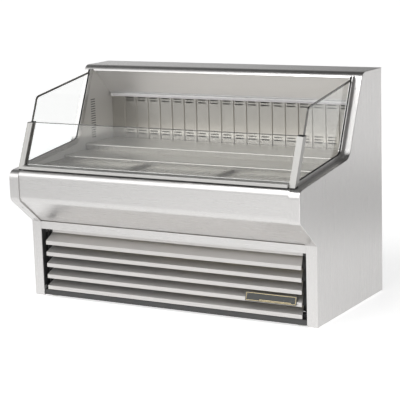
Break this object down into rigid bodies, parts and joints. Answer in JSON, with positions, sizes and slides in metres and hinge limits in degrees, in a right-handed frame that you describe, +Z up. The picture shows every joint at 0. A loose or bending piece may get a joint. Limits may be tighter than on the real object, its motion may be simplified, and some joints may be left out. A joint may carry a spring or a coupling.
{
  "type": "refrigerated deli case",
  "caption": "Open-front refrigerated self-service deli case: insulated stainless cabinet, glass guard, stepped deck, lit canopy and a louvred machine compartment.",
  "frame": {"origin": "on the floor under the middle of the case", "axes": "+X to the right of a customer facing the case, +Y towards the back, +Z up; the customer stands on the -Y side"},
  "size_m": [1.53, 0.9, 1.085],
  "materials": {
    "stainless": "satin, brushed lengthways",
    "liner_steel": "satin",
    "galvanised": "galvanised sheet, dull",
    "black_paint": "semi-gloss black",
    "white_aluminium": "light anodised, satin",
    "white_enamel": "gloss white",
    "clear_glass": "polished, tempered",
    "lamp_lens": "opal",
    "black_rubber": "matt",
    "fin_aluminium": "mill",
    "copper": "drawn copper",
    "fan_plastic": "moulded",
    "knob_plastic": "moulded",
    "badge_plastic": "gloss, pale gold rim",
    "zinc_screw": "zinc plated",
    "zinc_steel": "zinc plated",
    "foam": "rigid foam"
  },
  "bodies": {
    "cabinet": {"base_frame": "black_paint", "left_end_shell": "stainless", "right_end_shell": "stainless", "left_end_core": "foam", "right_end_core": "foam", "left_end_liner": "liner_steel", "right_end_liner": "liner_steel", "leg_covers": "stainless", "front_panel": "stainless", "toe_rail": "stainless", "top_cover": "stainless", "header_panel": "stainless", "rear_panel": "galvanised", "service_panel": "galvanised", "casing_screws": "zinc_screw", "tank_core": "foam", "tank_liner": "liner_steel", "rear_duct_panel": "liner_steel", "return_air_grille": "liner_steel", "front_glass": "clear_glass", "left_side_glass": "clear_glass", "right_side_glass": "clear_glass", "left_front_post": "white_aluminium", "right_front_post": "white_aluminium", "glass_rail": "white_aluminium", "left_glass_channel": "stainless", "right_glass_channel": "stainless", "glass_gaskets": "black_rubber", "lamp_housing": "white_enamel", "lamp_diffuser": "lamp_lens", "evaporator_coil": "fin_aluminium", "evaporator_fan_shroud": "galvanised", "evaporator_fan_motors": "black_paint", "condensing_unit_base": "galvanised", "condenser_coil": "fin_aluminium", "condenser_fan_shroud": "black_paint", "condenser_fan_motor": "black_paint", "compressor": "black_paint", "liquid_receiver": "black_paint", "refrigerant_lines": "copper", "condensate_pan": "galvanised", "electrical_box": "galvanised", "power_inlet": "knob_plastic"},
    "grille": {"louvre_grille": "stainless", "grille_stiles": "black_paint", "nameplate": "badge_plastic"},
    "pan_left": {"deck_pan_left": "liner_steel"},
    "pan_centre": {"deck_pan_centre": "liner_steel"},
    "pan_right": {"deck_pan_right": "liner_steel"},
    "middle_step": {"middle_step_shelf": "liner_steel"},
    "rear_step": {"rear_step_shelf": "liner_steel"},
    "evaporator_wheel_left": {"evaporator_fan_left": "fan_plastic"},
    "evaporator_wheel_right": {"evaporator_fan_right": "fan_plastic"},
    "condenser_wheel": {"condenser_fan": "fan_plastic"},
    "knob": {"temperature_knob": "knob_plastic"},
    "switch": {"light_switch": "knob_plastic"},
    "foot_front_left_body": {"foot_front_left": "zinc_steel"},
    "foot_front_right_body": {"foot_front_right": "zinc_steel"},
    "foot_rear_left_body": {"foot_rear_left": "zinc_steel"},
    "foot_rear_right_body": {"foot_rear_right": "zinc_steel"}
  },
  "joints": [
    {"name": "foot_front_left_adjust", "type": "slide", "parent": "cabinet", "child": "foot_front_left_body", "axis": [0, 0, -1], "range_m": [0, 0.02]},
    {"name": "foot_front_right_adjust", "type": "slide", "parent": "cabinet", "child": "foot_front_right_body", "axis": [0, 0, -1], "range_m": [0, 0.02]},
    {"name": "foot_rear_left_adjust", "type": "slide", "parent": "cabinet", "child": "foot_rear_left_body", "axis": [0, 0, -1], "range_m": [0, 0.02]},
    {"name": "foot_rear_right_adjust", "type": "slide", "parent": "cabinet", "child": "foot_rear_right_body", "axis": [0, 0, -1], "range_m": [0, 0.02]},
    {"name": "grille_swing", "type": "hinge", "parent": "cabinet", "child": "grille", "pos_m": [0, -0.242, 0.324], "axis": [-1, 0, 0], "range_deg": [0, 60]},
    {"name": "pan_left_lift", "type": "slide", "parent": "cabinet", "child": "pan_left", "axis": [0, 0, 1], "range_m": [0, 0.08]},
    {"name": "pan_centre_lift", "type": "slide", "parent": "cabinet", "child": "pan_centre", "axis": [0, 0, 1], "range_m": [0, 0.08]},
    {"name": "pan_right_lift", "type": "slide", "parent": "cabinet", "child": "pan_right", "axis": [0, 0, 1], "range_m": [0, 0.08]},
    {"name": "middle_step_lift", "type": "slide", "parent": "cabinet", "child": "middle_step", "axis": [0, 0, 1], "range_m": [0, 0.08]},
    {"name": "rear_step_lift", "type": "slide", "parent": "cabinet", "child": "rear_step", "axis": [0, 0, 1], "range_m": [0, 0.08]},
    {"name": "evaporator_fan_left_spin", "type": "hinge", "parent": "cabinet", "child": "evaporator_wheel_left", "pos_m": [-0.3, 0.014, 0.52], "axis": [0, 1, 0], "continuous": true},
    {"name": "evaporator_fan_right_spin", "type": "hinge", "parent": "cabinet", "child": "evaporator_wheel_right", "pos_m": [0.3, 0.014, 0.52], "axis": [0, 1, 0], "continuous": true},
    {"name": "condenser_fan_spin", "type": "hinge", "parent": "cabinet", "child": "condenser_wheel", "pos_m": [-0.385, -0.14, 0.2], "axis": [0, 1, 0], "continuous": true},
    {"name": "temperature_turn", "type": "hinge", "parent": "cabinet", "child": "knob", "pos_m": [0.44, 0.43, 0.255], "axis": [0, 1, 0], "range_deg": [-150, 150]},
    {"name": "light_switch_rock", "type": "hinge", "parent": "cabinet", "child": "switch", "pos_m": [0.54, 0.424, 0.255], "axis": [-1, 0, 0], "range_deg": [0, 16]}
  ]
}
